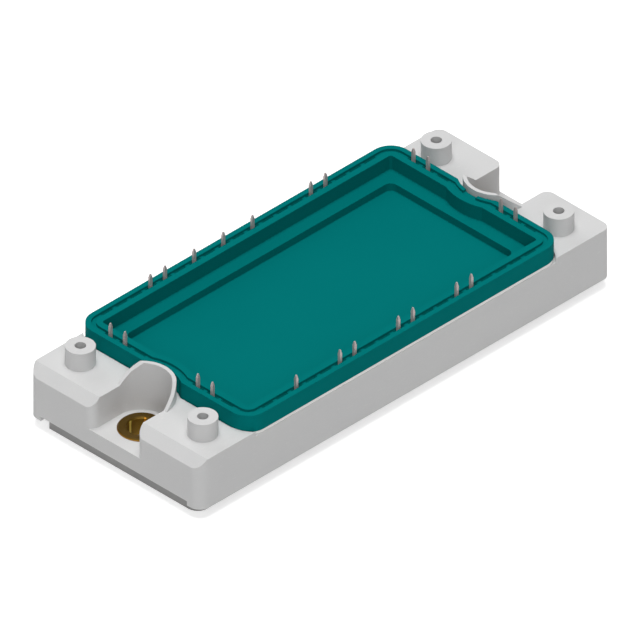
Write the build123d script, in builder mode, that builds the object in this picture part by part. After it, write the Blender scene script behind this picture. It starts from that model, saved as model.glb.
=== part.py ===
# Thyristor module: a flat power semiconductor module for a circuit board and a heat sink.
# A moulded frame sits on a metal base plate, a tray-shaped lid closes it, and square pins stand up
# through a groove round the lid. Inside, a ceramic substrate carries three thyristors and three
# diodes, and bond wires join the chips to the pins.
#
# Millimetres. X runs along the module, Y across it, Z up. The origin is the centre of the underside
# of the base plate, which is the face that is clamped to the heat sink.

from build123d import *
import math
import os

os.makedirs("parts", exist_ok=True)

# Outline and fixing pattern
module_length = 107.5
module_width = 45.0
hole_from_end = 7.25
post_from_side = 6.5
screw_bore = 5.5

# Base plate
plate_thickness = 3.0
plate_corner = 2.5
plate_key = 2.08
plate_clearance = 0.1

# Frame: the moulded housing
block_top = 13.14
seat_step = 1.0
post_top = 17.1
near_corner = 2.45
far_corner = 1.9
end_chamfer = 2.0
skirt_wall_side = 1.97
skirt_wall_end = 1.4
skirt_depth = 0.94
foot_length = 3.4
post_diameter = 5.75
post_hole_diameter = 2.15
post_hole_depth = 10.0
recess_radius = 5.69
recess_floor = 6.54
recess_mouth_radius = 1.8
collar_wall = 0.75
collar_ramp = 4.4
pocket_corner = 7.2
pocket_overrun = 2.1
pin_setback = 1.555
bond_step_width = 2.45
bond_step_height = 2.2
cavity_corner = 1.5

# Adhesive bead between frame and base plate
glue_width = 1.4
glue_depth = 0.5
glue_edge = 1.0

# Bushes in the mounting holes
bush_diameter = 9.16
bush_proud = 0.35
bush_chamfer = 0.25
bush_clearance = 0.05

# Lid
lid_from_end = 12.63
lid_corner = 4.1
lid_height = 4.37
lid_gap = 0.23
lid_reveal = 0.7
lid_notch_radius = 9.6
lid_notch_from_end = 4.44
lip_width = 1.08
lip_width_notch = 0.75
lip_opening = 3.2
groove_width = 0.93
groove_width_notch = 0.84
groove_depth = 0.5
slot_length = 2.9
slot_depth = 1.2
slot_web = 1.2
rim_width = 1.37
rim_width_notch = 1.3
rim_corner = 0.5
tray_depth = 3.04
tray_step = 2.95
pocket_depth = 1.62
pan_corner = 1.5
lid_wall = 1.3
pin_hole_clearance = 0.1

# Terminal pins: those of the long sides are counted from the module's centre, those of the ends
# inwards from the lines of the side pins
pin_side = 0.56
pin_pitch = 3.81
pin_top = 19.15
pin_taper = 0.8
pin_tip = 0.25
pin_foot_width = 1.2
pin_foot_length = 1.9
pin_foot_inset = 0.15
side_pin_offset = -0.38
end_pin_offset = -0.2
far_pin_steps = (-6, -5, -3, -1, 1, 5, 6)
near_pin_steps = (-7, -4, -3, 0, 1, 4, 5)
far_end_pin_steps = (1.5, 2.5)
near_end_pin_steps = (3.5, 2.5)
end_slot_steps = (1.5, 2.5, 3.5)

# Substrate stack on the base plate
substrate_clearance = 0.5
solder_thickness = 0.15
copper_thickness = 0.3
ceramic_thickness = 0.4
copper_inset = 0.8
track_gap = 0.8
phase_count = 3
gate_pin_steps = (-5, 1, 5)
phase_pin_steps = (0, 1)
gate_pad_length = 3.0
gate_pad_width = 1.8

# Chips
thyristor_side = 9.0
diode_side = 6.5
chip_thickness = 0.35
chip_gap = 0.6
thyristor_edge = 0.8
diode_edge = 2.0
gate_edge = 0.9

# Bond wires
wire_diameter = 0.3
wire_rise = 1.3
wire_foot = 0.8
wire_bend = 0.5
wires_per_chip = 3
wire_spacing = 1.7
thyristor_wire_shift = 0.5
diode_wire_shift = 0.6

# Places worked out from the sizes above
half_length = module_length / 2
half_width = module_width / 2
hole_x = half_length - hole_from_end
post_y = half_width - post_from_side
seat_top = block_top - seat_step
lid_top = seat_top + lid_height
lid_half_length = half_length - lid_from_end
plate_half_length = half_length - skirt_wall_end - plate_clearance
plate_half_width = half_width - skirt_wall_side - plate_clearance
groove_centre = lip_width + groove_width / 2
pin_line_x = lid_half_length - groove_centre
pin_line_y = half_width - groove_centre
cavity_half_length = pin_line_x - pin_setback
cavity_half_width = pin_line_y - pin_setback
floor_half_length = cavity_half_length - bond_step_width
floor_half_width = cavity_half_width - bond_step_width
bond_step_top = plate_thickness + bond_step_height
groove_floor = lid_top - groove_depth
slot_floor = lid_top - slot_depth
tray_floor = lid_top - tray_depth
pocket_floor = tray_floor - pocket_depth
tray_half_length = lid_half_length - lip_width - groove_width - rim_width
tray_half_width = half_width - lip_width - groove_width - rim_width
pan_half_length = tray_half_length - tray_step
pan_half_width = tray_half_width - tray_step
notch_x = half_length - lid_notch_from_end
lip_notch_radius = lid_notch_radius + lip_width_notch
rim_notch_radius = lip_notch_radius + groove_width_notch
tray_notch_radius = rim_notch_radius + rim_width_notch
ceramic_half_length = floor_half_length - substrate_clearance
ceramic_half_width = floor_half_width - substrate_clearance
copper_half_length = ceramic_half_length - copper_inset
copper_half_width = ceramic_half_width - copper_inset
back_copper_bottom = plate_thickness + solder_thickness
ceramic_bottom = back_copper_bottom + copper_thickness
track_bottom = ceramic_bottom + ceramic_thickness
track_top = track_bottom + copper_thickness
chip_top = track_top + chip_thickness
phase_width = thyristor_edge + thyristor_side + chip_gap + diode_side + diode_edge
phase_half_width = phase_width / 2
rail_inner = phase_half_width + track_gap
rail_width = copper_half_width - rail_inner
phase_pitch = (2 * copper_half_length + track_gap) / phase_count
phase_length = phase_pitch - track_gap
phase_centres = [(i - (phase_count - 1) / 2) * phase_pitch for i in range(phase_count)]
thyristor_y = phase_half_width - thyristor_edge - thyristor_side / 2
diode_y = -(phase_half_width - diode_edge - diode_side / 2)
rail_y = rail_inner + rail_width / 2
hole_places = [(-hole_x, 0), (hole_x, 0)]
post_places = [(x, y) for x in (-hole_x, hole_x) for y in (-post_y, post_y)]


def side_pin_x(step):
    """Distance along the module of a pin on a long side."""
    return side_pin_offset + step * pin_pitch


def end_slot_y(side, step):
    """Distance across the module of a slot at an end, on the far side (1) or the near side (-1)."""
    return side * (pin_line_y - step * pin_pitch)


far_pins = [Location((side_pin_x(n), pin_line_y, 0), (0, 0, -90)) for n in far_pin_steps]
near_pins = [Location((side_pin_x(n), -pin_line_y, 0), (0, 0, 90)) for n in near_pin_steps]
end_pin_ys = [end_slot_y(1, n) + end_pin_offset for n in far_end_pin_steps]
end_pin_ys += [end_slot_y(-1, n) + end_pin_offset for n in near_end_pin_steps]
left_pins = [Location((-pin_line_x, y, 0)) for y in end_pin_ys]
right_pins = [Location((pin_line_x, y, 0), (0, 0, 180)) for y in end_pin_ys]
pin_places = far_pins + near_pins + left_pins + right_pins
last_slot = math.floor(pin_line_x / pin_pitch - 1)
slot_steps = range(-last_slot, last_slot + 1)
side_slots = [(n * pin_pitch, y) for n in slot_steps for y in (-pin_line_y, pin_line_y)]
end_slot_ys = [end_slot_y(side, n) for side in (-1, 1) for n in end_slot_steps]
end_slots = [(x, y) for x in (-pin_line_x, pin_line_x) for y in end_slot_ys]


def frame_outline():
    """Outside of the frame: the corners of the near end are rounder than those of the far end."""
    Rectangle(module_length, module_width)
    fillet(vertices().group_by(Axis.X)[0], near_corner)
    fillet(vertices().group_by(Axis.X)[-1], far_corner)


def bite(notch_radius):
    """Take a round bite out of both ends of the sketch, where the collars of the frame stand."""
    with Locations((-notch_x, 0), (notch_x, 0)):
        Circle(notch_radius, mode=Mode.SUBTRACT)


def lid_outline(inset, corner, notch_radius):
    """The lid's outline moved in by inset, with its notches round the collars of the frame."""
    RectangleRounded(2 * (lid_half_length - inset), 2 * (half_width - inset), corner)
    bite(notch_radius)


def glue_ring():
    """Ring round the frame's open middle that the adhesive fills."""
    for edge, mode in ((glue_edge + glue_width, Mode.ADD), (glue_edge, Mode.SUBTRACT)):
        RectangleRounded(
            2 * (floor_half_length + edge),
            2 * (floor_half_width + edge),
            cavity_corner + edge,
            mode=mode,
        )


# Base plate: nickel-plated copper, with two screw holes and one bevelled corner as a key
with BuildPart() as base_plate:
    with BuildSketch():
        Rectangle(2 * plate_half_length, 2 * plate_half_width)
        near_end = vertices().group_by(Axis.X)[0].sort_by(Axis.Y)
        far_end = vertices().group_by(Axis.X)[-1]
        fillet([near_end[0], *far_end], plate_corner)
        chamfer(vertices().group_by(Axis.X)[0].sort_by(Axis.Y)[-1], plate_key)
    extrude(amount=plate_thickness)
    with Locations(*hole_places):
        Hole(screw_bore / 2)
base_plate.part.label = "base_plate"
export_step(base_plate.part, "parts/base_plate.step")


# Pin: a square post with a tapered tip and a flat foot that points into the module
with BuildPart() as pin_blank:
    with BuildSketch(Plane.XY.offset(bond_step_top)):
        Rectangle(pin_side, pin_side)
    extrude(amount=pin_top - pin_taper - bond_step_top)
    with BuildSketch(Plane.XY.offset(pin_top - pin_taper)):
        Rectangle(pin_side, pin_side)
    with BuildSketch(Plane.XY.offset(pin_top)):
        Rectangle(pin_tip, pin_tip)
    loft()
    with BuildSketch(Plane.XY.offset(bond_step_top)):
        Rectangle(pin_setback + pin_foot_inset, pin_side, align=(Align.MIN, Align.CENTER))
        with Locations((pin_setback + pin_foot_inset, 0)):
            Rectangle(pin_foot_length, pin_foot_width, align=(Align.MIN, Align.CENTER))
    extrude(amount=pin_side)

for number, place in enumerate(pin_places, start=1):
    with BuildPart() as pin:
        with Locations(place):
            add(pin_blank.part)
    pin.part.label = f"pin_{number:02d}"
    export_step(pin.part, f"parts/pin_{number:02d}.step")


# Collar: the thin half ring behind each mounting recess, with a ramp down at both ends
with BuildPart() as collar:
    with BuildSketch(Plane.XY.offset(block_top)):
        with Locations((hole_x, 0)):
            Circle(recess_radius + collar_wall)
            Circle(recess_radius, mode=Mode.SUBTRACT)
    extrude(amount=post_top - block_top)
    with BuildSketch(Plane.XZ):
        with BuildLine():
            Polyline(
                (hole_x, block_top),
                (hole_x - collar_ramp, post_top),
                (hole_x - recess_radius - collar_wall, post_top),
                (hole_x - recess_radius - collar_wall, block_top),
                close=True,
            )
        make_face()
    extrude(amount=recess_radius + collar_wall, both=True, mode=Mode.INTERSECT)


# Housing: one moulding with two end blocks, a low wall along each side and an open middle
with BuildPart() as housing:
    with BuildSketch(Plane.XY.offset(plate_thickness)):
        frame_outline()
    extrude(amount=block_top - plate_thickness)

    # Recess over each mounting hole, open at the end of the module
    with BuildSketch(Plane.XY.offset(recess_floor)):
        for end in (-1, 1):
            with Locations((end * hole_x, 0)):
                Circle(recess_radius)
            with Locations((end * (hole_x + half_length) / 2, 0)):
                Rectangle(half_length - hole_x, 2 * recess_radius)
    extrude(amount=block_top - recess_floor, mode=Mode.SUBTRACT)
    mouth = [
        edge
        for edge in edges().filter_by(Axis.Z)
        if abs(abs(edge.center().X) - half_length) < 0.01
        and abs(abs(edge.center().Y) - recess_radius) < 0.01
    ]
    fillet(mouth, recess_mouth_radius)

    # Bevel along the top of the near end
    with BuildSketch(Plane.XZ):
        with BuildLine():
            Polyline(
                (-half_length, block_top),
                (-half_length + end_chamfer, block_top),
                (-half_length, block_top - end_chamfer),
                close=True,
            )
        make_face()
    extrude(amount=half_width, both=True, mode=Mode.SUBTRACT)

    # Skirt that hooks over the sides and corners of the base plate
    with BuildSketch(Plane.XY.offset(plate_thickness - skirt_depth)):
        frame_outline()
        RectangleRounded(
            2 * (plate_half_length + plate_clearance),
            2 * (plate_half_width + plate_clearance),
            plate_corner + plate_clearance,
            mode=Mode.SUBTRACT,
        )
        Rectangle(module_length, 2 * (half_width - foot_length), mode=Mode.SUBTRACT)
    extrude(amount=skirt_depth)

    # Seat for the lid, with its notched ends
    with BuildSketch(Plane.XY.offset(seat_top)):
        RectangleRounded(
            2 * (lid_half_length + lid_gap),
            2 * (half_width + pocket_overrun),
            pocket_corner,
        )
        bite(lid_notch_radius - lid_gap)
    extrude(amount=seat_step, mode=Mode.SUBTRACT)

    # Open middle with a step all round for the feet of the pins
    with BuildSketch(Plane.XY.offset(bond_step_top)):
        RectangleRounded(2 * cavity_half_length, 2 * cavity_half_width, cavity_corner)
    extrude(amount=seat_top - bond_step_top, mode=Mode.SUBTRACT)
    with BuildSketch(Plane.XY.offset(plate_thickness)):
        RectangleRounded(2 * floor_half_length, 2 * floor_half_width, cavity_corner)
    extrude(amount=bond_step_height, mode=Mode.SUBTRACT)

    # Bores for the bushes
    with BuildSketch(Plane.XY.offset(plate_thickness)):
        with Locations(*hole_places):
            Circle(bush_diameter / 2 + bush_clearance)
    extrude(amount=recess_floor - plate_thickness, mode=Mode.SUBTRACT)

    # Groove for the adhesive
    with BuildSketch(Plane.XY.offset(plate_thickness)):
        glue_ring()
    extrude(amount=glue_depth, mode=Mode.SUBTRACT)

    # Screw posts for the circuit board
    with BuildSketch(Plane.XY.offset(block_top)):
        with Locations(*post_places):
            Circle(post_diameter / 2)
    extrude(amount=post_top - block_top)
    with BuildSketch(Plane.XY.offset(post_top)):
        with Locations(*post_places):
            Circle(post_hole_diameter / 2)
    extrude(amount=-post_hole_depth, mode=Mode.SUBTRACT)

    # Collars and the slots that the moulded-in pins fill
    add(collar.part)
    add(collar.part.mirror(Plane.YZ))
    with Locations(*pin_places):
        add(pin_blank.part, mode=Mode.SUBTRACT)
housing.part.label = "housing"
export_step(housing.part, "parts/housing.step")


# Adhesive bead in the groove under the frame
with BuildPart() as glue_bead:
    with BuildSketch(Plane.XY.offset(plate_thickness)):
        glue_ring()
    extrude(amount=glue_depth)
glue_bead.part.label = "glue_bead"
export_step(glue_bead.part, "parts/glue_bead.step")


# Bushes: turned brass sleeves that take the load of the mounting screws
for name, x in (("bush_near", -hole_x), ("bush_far", hole_x)):
    with BuildPart() as bush:
        with BuildSketch(Plane.XY.offset(plate_thickness)):
            with Locations((x, 0)):
                Circle(bush_diameter / 2)
                Circle(screw_bore / 2, mode=Mode.SUBTRACT)
        extrude(amount=recess_floor + bush_proud - plate_thickness)
        chamfer(edges().group_by(Axis.Z)[-1], bush_chamfer)
    bush.part.label = name
    export_step(bush.part, f"parts/{name}.step")


# Outlines of the two sides of the groove in the lid's rim
with BuildSketch() as lip_inside:
    lid_outline(lip_width, lid_corner - lip_width, lip_notch_radius)
with BuildSketch() as rim_outside:
    lid_outline(
        lip_width + groove_width, lid_corner - lip_width - groove_width, rim_notch_radius
    )


# Lid: a tray with a grooved rim, notched at both ends to pass the collars
with BuildPart() as lid:
    with BuildSketch(Plane.XY.offset(seat_top + lid_reveal)):
        lid_outline(0, lid_corner, lid_notch_radius)
    extrude(amount=lid_height - lid_reveal)
    with BuildSketch(Plane.XY.offset(seat_top)):
        lid_outline(lid_reveal, lid_corner - lid_reveal, lid_notch_radius + lid_reveal)
    extrude(amount=lid_reveal)

    # Shallow pan that hangs into the frame
    with BuildSketch(Plane.XY.offset(pocket_floor - lid_wall)):
        RectangleRounded(
            2 * (pan_half_length + lid_wall), 2 * (pan_half_width + lid_wall), pan_corner + lid_wall
        )
    extrude(amount=seat_top - pocket_floor + lid_wall)

    # Tray inside the rim, and the deeper field in its middle
    with BuildSketch(Plane.XY.offset(tray_floor)):
        RectangleRounded(2 * tray_half_length, 2 * tray_half_width, rim_corner)
        bite(tray_notch_radius)
    extrude(amount=tray_depth, mode=Mode.SUBTRACT)
    with BuildSketch(Plane.XY.offset(pocket_floor)):
        RectangleRounded(2 * pan_half_length, 2 * pan_half_width, pan_corner)
    extrude(amount=pocket_depth, mode=Mode.SUBTRACT)

    # Groove round the rim; its outer lip is open in the middle of each notch
    with BuildSketch(Plane.XY.offset(groove_floor)):
        add(lip_inside.sketch)
        add(rim_outside.sketch, mode=Mode.SUBTRACT)
    extrude(amount=groove_depth, mode=Mode.SUBTRACT)
    with BuildSketch(Plane.XY.offset(groove_floor)):
        for end in (-1, 1):
            with Locations((end * (notch_x - lip_notch_radius / 2), 0)):
                Rectangle(lip_notch_radius, lip_opening)
    extrude(amount=groove_depth, mode=Mode.SUBTRACT)

    # Deeper slots in the groove, one for each place that a pin can have
    with BuildSketch(Plane.XY.offset(slot_floor)):
        with Locations(*side_slots):
            Rectangle(slot_length, groove_width)
        with Locations(*end_slots):
            Rectangle(groove_width, slot_length)
    extrude(amount=slot_depth, mode=Mode.SUBTRACT)

    # Channel under the groove, and a square hole for each pin in the web between it and the slots
    with BuildSketch(Plane.XY.offset(seat_top)):
        add(lip_inside.sketch)
        add(rim_outside.sketch, mode=Mode.SUBTRACT)
    extrude(amount=slot_floor - slot_web - seat_top, mode=Mode.SUBTRACT)
    with BuildSketch(Plane.XY.offset(slot_floor - slot_web)):
        with Locations(*pin_places):
            Rectangle(pin_side + 2 * pin_hole_clearance, pin_side + 2 * pin_hole_clearance)
    extrude(amount=slot_web, mode=Mode.SUBTRACT)
lid.part.label = "lid"
export_step(lid.part, "parts/lid.step")


# Substrate stack: solder, copper foil and a ceramic tile
layers = (
    ("solder_layer", plate_thickness, solder_thickness, copper_half_length, copper_half_width),
    ("back_copper", back_copper_bottom, copper_thickness, copper_half_length, copper_half_width),
    ("ceramic_tile", ceramic_bottom, ceramic_thickness, ceramic_half_length, ceramic_half_width),
)
for name, bottom, thickness, long_half, short_half in layers:
    with BuildPart() as layer:
        with BuildSketch(Plane.XY.offset(bottom)):
            Rectangle(2 * long_half, 2 * short_half)
        extrude(amount=thickness)
    layer.part.label = name
    export_step(layer.part, f"parts/{name}.step")


# Rails: the positive one has a window round each gate pad
gate_places = [(side_pin_x(n), rail_inner + gate_pad_width / 2) for n in gate_pin_steps]
with BuildPart() as positive_rail:
    with BuildSketch(Plane.XY.offset(track_bottom)):
        with Locations((0, rail_y)):
            Rectangle(2 * copper_half_length, rail_width)
        with Locations(*gate_places):
            Rectangle(
                gate_pad_length + 2 * track_gap, gate_pad_width + 2 * track_gap, mode=Mode.SUBTRACT
            )
    extrude(amount=copper_thickness)
positive_rail.part.label = "positive_rail"
export_step(positive_rail.part, "parts/positive_rail.step")

with BuildPart() as negative_rail:
    with BuildSketch(Plane.XY.offset(track_bottom)):
        with Locations((0, -rail_y)):
            Rectangle(2 * copper_half_length, rail_width)
    extrude(amount=copper_thickness)
negative_rail.part.label = "negative_rail"
export_step(negative_rail.part, "parts/negative_rail.step")


def bond_wire(start, finish):
    """Round wire from one bonding point to another, with flat feet and a raised middle."""
    run = math.hypot(finish[0] - start[0], finish[1] - start[1])
    turn = math.degrees(math.atan2(finish[1] - start[1], finish[0] - start[0]))
    low = start[2] + wire_diameter / 2
    end = finish[2] + wire_diameter / 2
    top = max(low, end) + wire_rise
    with BuildPart() as wire:
        with BuildLine(Plane.XZ) as path:
            FilletPolyline(
                (-wire_foot / 2, low),
                (wire_foot / 2, low),
                (run / 2, top),
                (run - wire_foot / 2, end),
                (run + wire_foot / 2, end),
                radius=wire_bend,
            )
        with BuildSketch(Plane(origin=path.line @ 0, z_dir=path.line % 0)):
            Circle(wire_diameter / 2)
        sweep(path=path.line)
    return wire.part.moved(Location((start[0], start[1], 0), (0, 0, turn)))


# Three phases: a copper island with a thyristor and a diode, the gate pad and the chips' wires
for number, centre in enumerate(phase_centres, start=1):
    gate_x, gate_y = gate_places[number - 1]
    side = math.copysign(1, gate_x - centre)
    with BuildPart() as island:
        with BuildSketch(Plane.XY.offset(track_bottom)):
            with Locations((centre, 0)):
                Rectangle(phase_length, 2 * phase_half_width)
        extrude(amount=copper_thickness)
    with BuildPart() as gate_pad:
        with BuildSketch(Plane.XY.offset(track_bottom)):
            with Locations((gate_x, gate_y)):
                Rectangle(gate_pad_length, gate_pad_width)
        extrude(amount=copper_thickness)
    with BuildPart() as thyristor:
        with BuildSketch(Plane.XY.offset(track_top)):
            with Locations((centre, thyristor_y)):
                Rectangle(thyristor_side, thyristor_side)
        extrude(amount=chip_thickness)
    with BuildPart() as diode:
        with BuildSketch(Plane.XY.offset(track_top)):
            with Locations((centre, diode_y)):
                Rectangle(diode_side, diode_side)
        extrude(amount=chip_thickness)

    with BuildPart() as thyristor_wires:
        for k in range(wires_per_chip):
            x = centre - side * thyristor_wire_shift + (k - (wires_per_chip - 1) / 2) * wire_spacing
            add(bond_wire((x, thyristor_y, chip_top), (x, rail_y + wire_foot, track_top)))
        corner = thyristor_side / 2 - gate_edge
        add(
            bond_wire(
                (centre + side * corner, thyristor_y + corner - wire_foot / 2, chip_top),
                (gate_x - side * gate_pad_length / 4, gate_y, track_top),
            )
        )
    with BuildPart() as diode_wires:
        for k in range(wires_per_chip):
            x = centre + diode_wire_shift + (k - (wires_per_chip - 1) / 2) * wire_spacing
            add(bond_wire((x, diode_y, chip_top), (x, -rail_y, track_top)))

    pieces = {
        "phase_island": island,
        "gate_pad": gate_pad,
        "thyristor_chip": thyristor,
        "diode_chip": diode,
        "thyristor_wires": thyristor_wires,
        "diode_wires": diode_wires,
    }
    for name, piece in pieces.items():
        piece.part.label = f"{name}_{number}"
        export_step(piece.part, f"parts/{name}_{number}.step")


# Wires from the feet of the pins to the copper
pad_inset = pin_foot_inset + pin_foot_length / 2
pad_top = bond_step_top + pin_side
pad_y = cavity_half_width - pad_inset
pad_x = cavity_half_length - pad_inset
with BuildPart() as pin_wires_far:
    for n in far_pin_steps:
        x = side_pin_x(n)
        landing = gate_y if n in gate_pin_steps else rail_y + wire_foot
        add(bond_wire((x, pad_y, pad_top), (x, landing, track_top)))
pin_wires_far.part.label = "pin_wires_far"
export_step(pin_wires_far.part, "parts/pin_wires_far.step")

with BuildPart() as pin_wires_near:
    for n in near_pin_steps:
        x = side_pin_x(n)
        landing = -(phase_half_width - wire_foot) if n in phase_pin_steps else -rail_y
        add(bond_wire((x, -pad_y, pad_top), (x, landing, track_top)))
pin_wires_near.part.label = "pin_wires_near"
export_step(pin_wires_near.part, "parts/pin_wires_near.step")

with BuildPart() as pin_wires_ends:
    landing = copper_half_length - wire_foot
    for y in end_pin_ys:
        for end in (-1, 1):
            add(bond_wire((end * pad_x, y, pad_top), (end * landing, y, track_top)))
pin_wires_ends.part.label = "pin_wires_ends"
export_step(pin_wires_ends.part, "parts/pin_wires_ends.step")
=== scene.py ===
import math

import bmesh
import bpy
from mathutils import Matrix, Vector


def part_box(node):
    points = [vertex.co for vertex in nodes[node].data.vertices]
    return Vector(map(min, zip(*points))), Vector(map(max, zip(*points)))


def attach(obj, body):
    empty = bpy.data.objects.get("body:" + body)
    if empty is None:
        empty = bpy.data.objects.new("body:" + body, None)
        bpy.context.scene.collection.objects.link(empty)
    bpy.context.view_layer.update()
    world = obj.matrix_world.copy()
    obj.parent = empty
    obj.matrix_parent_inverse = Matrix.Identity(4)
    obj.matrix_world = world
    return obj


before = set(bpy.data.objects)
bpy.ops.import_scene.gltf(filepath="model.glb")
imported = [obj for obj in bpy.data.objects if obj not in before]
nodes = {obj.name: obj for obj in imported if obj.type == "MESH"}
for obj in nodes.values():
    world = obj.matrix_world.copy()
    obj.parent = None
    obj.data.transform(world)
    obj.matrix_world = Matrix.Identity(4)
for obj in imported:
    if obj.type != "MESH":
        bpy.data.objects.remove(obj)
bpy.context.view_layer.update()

# A flat thyristor module for a circuit board and a heat sink, dressed in the order in which it is
# put together: plate, substrate and chips, glue, frame with its bushes and pins, bond wires, lid,
# and a white bead as painted light at the lid's edge. Blender counts in metres; the part's sizes
# are in millimetres and multiplied by mm.
mm = 0.001


# Base plate. A copper plate, nickel plated all over, which is clamped to the heat sink.
# It is lapped flat, so the plating keeps a fine lay along the module and a few cloudy patches.
class Signal:
    """An output of a material's node, so that sums on it are written as plain sums."""

    def __init__(self, finish, socket):
        self.finish = finish
        self.socket = socket

    def work(self, operation, *values):
        return self.finish.node("ShaderNodeMath", {"operation": operation}, dict(enumerate(values)))

    def __add__(self, other):
        return self.work("ADD", self, other)

    def __sub__(self, other):
        return self.work("SUBTRACT", self, other)

    def __rsub__(self, other):
        return self.work("SUBTRACT", other, self)

    def __mul__(self, other):
        return self.work("MULTIPLY", self, other)

    __radd__ = __add__
    __rmul__ = __mul__

    def least(self, other):
        return self.work("MINIMUM", self, other)

    def most(self, other):
        return self.work("MAXIMUM", self, other)

    def rise(self, low, high):
        """0 below low, 1 above high, and a smooth step between them."""
        return self.finish.node(
            "ShaderNodeMapRange",
            {"interpolation_type": "SMOOTHSTEP"},
            {"Value": self, "From Min": low, "From Max": high},
        )


class Finish:
    """The nodes of one material, with places on the object in millimetres."""

    def __init__(self, holder):
        holder.use_nodes = True
        self.holder = holder
        self.tree = holder.node_tree

    def feed(self, node, sockets):
        for key, value in sockets.items():
            if isinstance(value, Signal):
                self.tree.links.new(value.socket, node.inputs[key])
            else:
                node.inputs[key].default_value = value

    def node(self, kind, settings, sockets, out=0):
        """One node: its settings first, then the values or links of its sockets."""
        made = self.tree.nodes.new(kind)
        for key, value in settings.items():
            setattr(made, key, value)
        self.feed(made, sockets)
        return Signal(self, made.outputs[out])

    def vector(self, operation, *values):
        sockets = dict(enumerate(values))
        return self.node("ShaderNodeVectorMath", {"operation": operation}, sockets)

    def length(self, vector):
        sockets = {0: vector}
        return self.node("ShaderNodeVectorMath", {"operation": "LENGTH"}, sockets, "Value")

    def split(self, vector):
        """The x, y and z of a vector."""
        parts = self.node("ShaderNodeSeparateXYZ", {}, {0: vector})
        return [Signal(self, part) for part in parts.socket.node.outputs]

    def place(self, x=1, y=1, z=1):
        """Place on the object in millimetres, squeezed along each axis by these numbers."""
        spot = self.node("ShaderNodeTexCoord", {}, {}, "Object")
        return self.vector("MULTIPLY", spot, (x / mm, y / mm, z / mm))

    def share(self):
        """Place within the piece's own box, from 0 to 1 along each axis."""
        return self.node("ShaderNodeTexCoord", {}, {}, "Generated")

    def noise(self, size, detail=2, place=None):
        """Soft random spots of about this size."""
        return self.node(
            "ShaderNodeTexNoise",
            {},
            {"Vector": place or self.place(), "Scale": 1 / size, "Detail": detail},
        )

    def blend(self, share, first, second):
        """Colour that goes from the first to the second as share goes from 0 to 1."""
        sockets = {0: share, 6: first, 7: second}
        return self.node("ShaderNodeMix", {"data_type": "RGBA"}, sockets, 2)

    def relief(self, height, depth):
        """Surface direction of a height from 0 to 1 that stands for depth millimetres."""
        return self.node("ShaderNodeBump", {}, {"Height": height, "Distance": depth * mm})

    def surface(self, sockets):
        self.feed(self.tree.nodes["Principled BSDF"], sockets)
        return self.holder


def new_finish(name):
    return Finish(bpy.data.materials.new(name))


def tone(red, green, blue):
    """A colour as a screen shows it, from 0 to 255, as the light that it reflects."""
    parts = [part / 255 for part in (red, green, blue)]
    return (*[p / 12.92 if p < 0.04045 else ((p + 0.055) / 1.055) ** 2.4 for p in parts], 1)


def dress(names, material):
    """Give the material to every node whose name starts with one of these words."""
    for name, piece in nodes.items():
        if name.startswith(names):
            for slot in piece.material_slots:
                slot.material = material


nickel = new_finish("nickel_plate")
lay = nickel.noise(size=0.3, place=nickel.place(x=0.12))
cloud = nickel.noise(size=7, detail=3)
dress(
    "base_plate",
    nickel.surface(
        {
            "Base Color": nickel.blend(cloud, tone(132, 132, 133), tone(150, 149, 147)),
            "Metallic": 0.6,
            "Roughness": 0.3 + 0.14 * cloud + 0.08 * lay,
            "Normal": nickel.relief(lay, depth=0.004),
        }
    ),
)


# Solder and substrate. A white ceramic tile with copper bonded to both faces is soldered to the
# plate; the upper copper is etched into rails, phase islands and gate pads.
solder = new_finish("solder")
dross = solder.noise(size=1.5, detail=4)
dress(
    "solder",
    solder.surface(
        {
            "Base Color": solder.blend(dross, tone(140, 142, 146), tone(176, 178, 182)),
            "Metallic": 1.0,
            "Roughness": 0.35 + 0.25 * dross,
            "Normal": solder.relief(dross, depth=0.03),
        }
    ),
)

copper = new_finish("bonded_copper")
stain = copper.noise(size=4, detail=4)
etched = copper.noise(size=0.12)
dress(
    ("back_copper", "positive_rail", "negative_rail", "phase_island", "gate_pad"),
    copper.surface(
        {
            "Base Color": copper.blend(stain, tone(214, 138, 108), tone(190, 108, 78)),
            "Metallic": 1.0,
            "Roughness": 0.34 + 0.16 * stain,
            "Normal": copper.relief(etched, depth=0.006),
        }
    ),
)

ceramic = new_finish("white_ceramic")
fired = ceramic.noise(size=0.4, detail=3)
dress(
    "ceramic_tile",
    ceramic.surface(
        {
            "Base Color": ceramic.blend(fired, tone(226, 224, 216), tone(240, 239, 234)),
            "Roughness": 0.42 + 0.12 * fired,
            "Normal": ceramic.relief(fired, depth=0.008),
        }
    ),
)


# Chips. Silicon with an aluminium face that stops short of the edge, where a dark ring of
# passivation runs round it.
ring_outside = 0.3
ring_inside = 0.45
ring_blur = 0.03
metal_edge = 0.62
metal_blur = 0.06
for kind in ("thyristor", "diode"):
    low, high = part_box(kind + "_chip_1")
    chip_side = (high - low).x / mm
    chip = new_finish(kind + "_silicon")
    along, across, up = chip.split(chip.share())
    from_edge = along.least(1 - along).least(across.least(1 - across)) * chip_side
    face = from_edge.rise(metal_edge, metal_edge + metal_blur) * up.rise(0.9, 0.95)
    beyond_ring = from_edge.rise(ring_inside, ring_inside + ring_blur)
    ring = from_edge.rise(ring_outside, ring_outside + ring_blur) * (1 - beyond_ring)
    bare = chip.blend(ring, tone(58, 60, 70), tone(84, 76, 96))
    sputter = chip.noise(size=0.08)
    dress(
        kind + "_chip",
        chip.surface(
            {
                "Base Color": chip.blend(face, bare, tone(206, 208, 212)),
                "Metallic": 0.4 + 0.6 * face,
                "Roughness": 0.2 + 0.2 * face + 0.06 * sputter,
                "Normal": chip.relief(sputter * face, depth=0.004),
            }
        ),
    )


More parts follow.
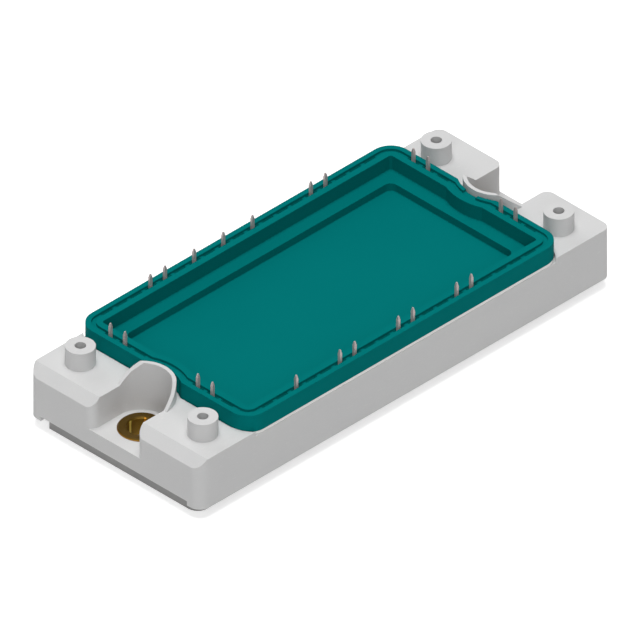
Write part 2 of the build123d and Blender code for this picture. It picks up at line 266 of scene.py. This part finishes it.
# Glue bead. Addition-cured silicone, laid in the groove under the frame before the frame is
# pressed onto the plate. It bonds the two and keeps damp out.
glue = new_finish("silicone_bead")
swell = glue.noise(size=1.2)
dress(
    "glue_bead",
    glue.surface(
        {
            "Base Color": glue.blend(swell, tone(196, 194, 188), tone(210, 208, 203)),
            "Roughness": 0.36 + 0.1 * swell,
            "Normal": glue.relief(swell, depth=0.05),
        }
    ),
)


# Frame. One moulding in light grey glass-filled plastic, with end blocks, collars, screw posts and
# skirt. The tool was spark eroded, so the skin is matt and finely grained, with faint flow marks.
plastic = new_finish("grey_moulding")
grain = plastic.noise(size=0.16)
fibre = plastic.noise(size=0.35, detail=3, place=plastic.place(x=0.35)).rise(0.6, 0.72)
flow = plastic.noise(size=11, detail=3, place=plastic.place(x=0.5))
grey_skin = plastic.blend(flow, tone(211, 211, 212), tone(217, 217, 216))
dress(
    "housing",
    plastic.surface(
        {
            "Base Color": plastic.blend(0.25 * fibre, grey_skin, tone(228, 228, 226)),
            "Roughness": 0.5 + 0.1 * flow + 0.06 * grain,
            "Specular IOR Level": 0.2,
            "Normal": plastic.relief(grain, depth=0.012),
        }
    ),
)


# Bushes. Brass sleeves turned on a lathe and browned, pressed into the mounting holes. The bore is
# painted a lighter brass to offset the shade in the hole, the flange's edge carries a painted
# highlight, and the bore a painted highlight streak and a painted glint near its rim.
bush_low, bush_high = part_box("bush_near")
flange_radius = (bush_high - bush_low).x / 2 / mm
bore_radius = 2.75
turning_pitch = 0.18
# Place of the painted highlight streak, a bright band in the bore where a lamp's highlight would
# run.
painted_streak_x = -0.23
painted_streak_from_y = 0.5
# Place of the painted glint, an orange spot on the bore's rim that stands in for a highlight.
painted_glint_place = (2.3, 1.4, 0)
brass = new_finish("turned_brass")
middle = brass.vector(
    "SUBTRACT",
    brass.vector("MULTIPLY", brass.share(), (2 * flange_radius, 2 * flange_radius, 0)),
    (flange_radius, flange_radius, 0),
)
radius = brass.length(middle)
turning = radius.work("SINE", radius * (2 * math.pi / turning_pitch))
tarnish = brass.noise(size=1.6, detail=3)
bore = 1 - radius.rise(bore_radius + 0.005, bore_radius + 0.04)
# Painted highlight: the flange's edge is a lighter gold.
flange_painted_highlight = radius.rise(flange_radius - 0.12, flange_radius - 0.04)
# Painted glint: an orange spot on the bore's rim that stands in for a highlight.
painted_glint = 1 - brass.length(brass.vector("SUBTRACT", middle, painted_glint_place)).rise(0.08, 0.3)
bush_x, bush_y = brass.split(middle)[:2]
# Painted highlight streak: a bright band in the bore where a lamp's highlight would run.
off_painted_streak = bush_x.work("ABSOLUTE", bush_x - painted_streak_x)
painted_highlight_streak = bore * (1 - off_painted_streak.rise(0.15, 0.4)) * bush_y.rise(painted_streak_from_y, painted_streak_from_y + 1)
brown_and_edge_highlight = brass.blend(tarnish, tone(82, 60, 0), tone(94, 69, 2))
# The browned brass, with the painted highlight on the flange's edge.
brown_and_edge_highlight = brass.blend(flange_painted_highlight, brown_and_edge_highlight, tone(150, 106, 24))
# Painted light: the bore's brass is lighter, to offset the shade inside the hole.
bore_painted_light = brass.blend(tarnish, tone(140, 106, 30), tone(150, 116, 36))
# The brass with all of its painted light: lighter bore, edge highlight, glint and streak.
brass_and_painted_light = brass.blend(bore, brown_and_edge_highlight, bore_painted_light)
brass_and_painted_light = brass.blend(painted_glint, brass_and_painted_light, tone(240, 160, 40))
dress(
    "bush",
    brass.surface(
        {
            "Base Color": brass.blend(painted_highlight_streak, brass_and_painted_light, tone(255, 228, 110)),
            "Metallic": 0.7 - 0.5 * painted_highlight_streak,
            "Roughness": 0.34 + 0.12 * tarnish,
            "Normal": brass.relief(turning * 0.5 + 0.5, depth=0.006),
        }
    ),
)


# Pins. Square bronze wire, drawn and tinned, moulded into the frame. The tin is satin, and a
# little darker towards the tips, which were cut to a taper.
pin_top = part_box("pin_01")[1].z / mm
tin = new_finish("tinned_pin")
drawn = tin.noise(size=0.1, place=tin.place(z=0.1))
patch = tin.noise(size=1.1, detail=3)
pin_z = tin.split(tin.place())[2]
tip = pin_z.rise(pin_top - 1.25, pin_top - 0.45)
tinned = tin.blend(patch, tone(200, 178, 177), tone(220, 200, 198))
dress(
    ("pin_0", "pin_1", "pin_2"),
    tin.surface(
        {
            "Base Color": tin.blend(tip, tinned, tone(184, 170, 169)),
            "Metallic": 0.35,
            "Roughness": 0.3 + 0.16 * patch,
            "Normal": tin.relief(drawn, depth=0.004),
        }
    ),
)


# Bond wires. Thick aluminium wire, which joins the chips to the copper and the copper to the
# pins. It is welded cold and pressed flat at its feet by the bonding tool.
wire = new_finish("aluminium_wire")
pull = wire.noise(size=0.3)
dress(
    ("thyristor_wires", "diode_wires", "pin_wires"),
    wire.surface(
        {
            "Base Color": wire.blend(pull, tone(204, 206, 209), tone(222, 223, 225)),
            "Metallic": 1.0,
            "Roughness": 0.26 + 0.12 * pull,
            "Normal": wire.relief(pull, depth=0.01),
        }
    ),
)


# Lid. A tray moulded in teal plastic, which snaps into the frame. Its tool was finished finer than
# that of the frame, so it is a little smoother. The slots in the floor of its rim's groove are
# given a lighter tone, because little light falls into them.
lid_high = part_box("lid")[1]
lid_top = lid_high.z / mm
lid_corner = 4.1
corner_x = lid_high.x / mm - lid_corner
corner_y = lid_high.y / mm - lid_corner
groove_floor = lid_top - 0.5
slots_inside = 1.5
slots_outside = 3.4
teal = new_finish("teal_moulding")
pebble = teal.noise(size=0.2)
drift = teal.noise(size=13, detail=3, place=teal.place(x=0.6))
past_corner = teal.vector("ABSOLUTE", teal.place(z=0))
past_corner = teal.vector("SUBTRACT", past_corner, (corner_x, corner_y, 0))
past_corner = teal.vector("MAXIMUM", past_corner, (0, 0, 0))
reach = teal.length(past_corner)
slot_band = reach.rise(slots_inside, slots_inside + 0.2)
slot_band = slot_band * (1 - reach.rise(slots_outside, slots_outside + 0.1))
lid_z = teal.split(teal.place())[2]
slots = slot_band * (1 - lid_z.rise(groove_floor - 0.07, groove_floor - 0.01))
teal_skin = teal.blend(drift, tone(0, 114, 114), tone(2, 119, 118))
dress(
    "lid",
    teal.surface(
        {
            "Base Color": teal.blend(slots, teal_skin, tone(10, 152, 150)),
            "Roughness": 0.46 + 0.08 * drift + 0.05 * pebble,
            "Specular IOR Level": 0.005,
            "Normal": teal.relief(pebble, depth=0.009),
        }
    ),
)


# Painted light at the lid's edge. A white bead in the reveal between the lid's edge and the frame,
# along both sides and round a part of each corner, stands in for the lit ledge that the lid's
# overhang shades. It sits nearly flush with the lid's side.
lid_height = 4.37
reveal = 0.7
white_bead_level = lid_top - lid_height + reveal / 2
white_bead_bend = math.radians(60)
white_bead_steps = 12
# Each point's distance inside the lid's side, and its height over the bead's middle.
white_bead_profile = (
    (0.66, -0.33),
    (0.1, -0.34),
    (0.03, -0.27),
    (0.01, 0),
    (0.03, 0.27),
    (0.1, 0.34),
    (0.66, 0.33),
)
# Painted light: this white bead stands in for the lit ledge under the lid's edge.
white_bead_finish = new_finish("painted_light_white_bead")
ripple = white_bead_finish.noise(size=0.9, place=white_bead_finish.place(x=0.4))
white_bead_finish.surface(
    {
        "Base Color": white_bead_finish.blend(ripple, tone(240, 240, 238), tone(248, 248, 247)),
        "Roughness": 0.38 + 0.12 * ripple,
        "Normal": white_bead_finish.relief(ripple, depth=0.02),
    }
)
bends = [white_bead_bend * step / white_bead_steps for step in range(white_bead_steps + 1)]
stations = [(-1, bend) for bend in reversed(bends)] + [(1, bend) for bend in bends]
for name, side in (("painted_light_bead_near", -1), ("painted_light_bead_far", 1)):
    bead = bmesh.new()
    loops = []
    for end, bend in stations:
        loop = []
        for inset, lift in white_bead_profile:
            out = lid_corner - inset
            x = end * (corner_x + out * math.sin(bend))
            y = side * (corner_y + out * math.cos(bend))
            loop.append(bead.verts.new((x * mm, y * mm, (white_bead_level + lift) * mm)))
        loops.append(loop)
    for first, second in zip(loops, loops[1:]):
        for k in range(len(white_bead_profile)):
            bead.faces.new((first[k - 1], first[k], second[k], second[k - 1]))
    bead.faces.new(loops[0])
    bead.faces.new(loops[-1])
    bmesh.ops.recalc_face_normals(bead, faces=bead.faces)
    shape = bpy.data.meshes.new(name)
    bead.to_mesh(shape)
    bead.free()
    shape.materials.append(white_bead_finish.holder)
    piece = bpy.data.objects.new(name, shape)
    bpy.context.collection.objects.link(piece)
    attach(piece, "root")


# Floor and backdrop. Both are white to the eye and in reflections. The backdrop gives the part
# only a faint light from all round, and the floor keeps the part's shadow.
white = (1, 1, 1, 1)
black = (0, 0, 0, 1)
sky_strength = 0.12
floor_shade = (0.75, 0.75, 0.75, 1)
floor_lift = (0.55, 0.55, 0.55, 1)
floor_reach = 4


def seen(finish):
    """1 for a ray that comes from the camera, straight, by reflection or through glass, else 0."""
    rays = finish.node("ShaderNodeLightPath", {}, {}).socket.node.outputs
    straight = Signal(finish, rays["Is Camera Ray"])
    reflected = Signal(finish, rays["Is Glossy Ray"])
    through = Signal(finish, rays["Is Transmission Ray"])
    return straight.most(reflected).most(through)


backdrop = Finish(bpy.data.worlds.new("backdrop"))
backdrop.feed(
    backdrop.tree.nodes["Background"],
    {"Color": white, "Strength": sky_strength + (1 - sky_strength) * seen(backdrop)},
)
bpy.context.scene.world = backdrop.holder

paper = new_finish("white_floor")
paper.surface(
    {
        "Base Color": floor_shade,
        "Roughness": 1.0,
        "Specular IOR Level": 0.0,
        "Emission Color": paper.blend(seen(paper), black, floor_lift),
        "Emission Strength": 1.0,
    }
)
corners = [
    (x * floor_reach, y * floor_reach, 0) for x, y in ((-1, -1), (1, -1), (1, 1), (-1, 1))
]
sheet = bpy.data.meshes.new("floor")
sheet.from_pydata(corners, [], [(0, 1, 2, 3)])
sheet.materials.append(paper.holder)
floor = bpy.data.objects.new("floor", sheet)
bpy.context.collection.objects.link(floor)


# Lamps. Three soft round lamps: overhead, before the module on the camera's side, and behind it.
# Each has its direction, the brightness that it gives a white surface which faces it, and its
# width in metres.
lamp_distance = 3.0
lamps = {
    "overhead_lamp": ((0, 0, 1), 0.63, 1.5),
    "front_lamp": ((-1, -1, 1), 0.34, 2.0),
    "back_lamp": ((0.2, 0.88, 0.53), 0.22, 2.5),
}
for name, (towards, strength, width) in lamps.items():
    away = Vector(towards).normalized()
    glow = bpy.data.lights.new(name, "AREA")
    glow.shape = "DISK"
    glow.size = width
    glow.energy = strength * (math.pi * lamp_distance) ** 2
    lamp = bpy.data.objects.new(name, glow)
    lamp.location = lamp_distance * away
    lamp.rotation_euler = away.to_track_quat("Z", "Y").to_euler()
    bpy.context.collection.objects.link(lamp)


# Camera. A parallel view along the diagonal of a cube, aimed and sized so that the part fills the
# frame as it does in the photograph. Its values are in metres.
view_middle = Vector((0.002593, 0.002475, 0.005068))
view_width = 0.11823
camera_distance = 0.6
sight = Vector((1, 1, -1)).normalized()
eye = bpy.data.cameras.new("camera")
eye.type = "ORTHO"
eye.ortho_scale = view_width
camera = bpy.data.objects.new("camera", eye)
camera.location = view_middle - camera_distance * sight
camera.rotation_euler = sight.to_track_quat("-Z", "Y").to_euler()
bpy.context.collection.objects.link(camera)
bpy.context.scene.camera = camera
bpy.context.scene.view_settings.view_transform = "Standard"
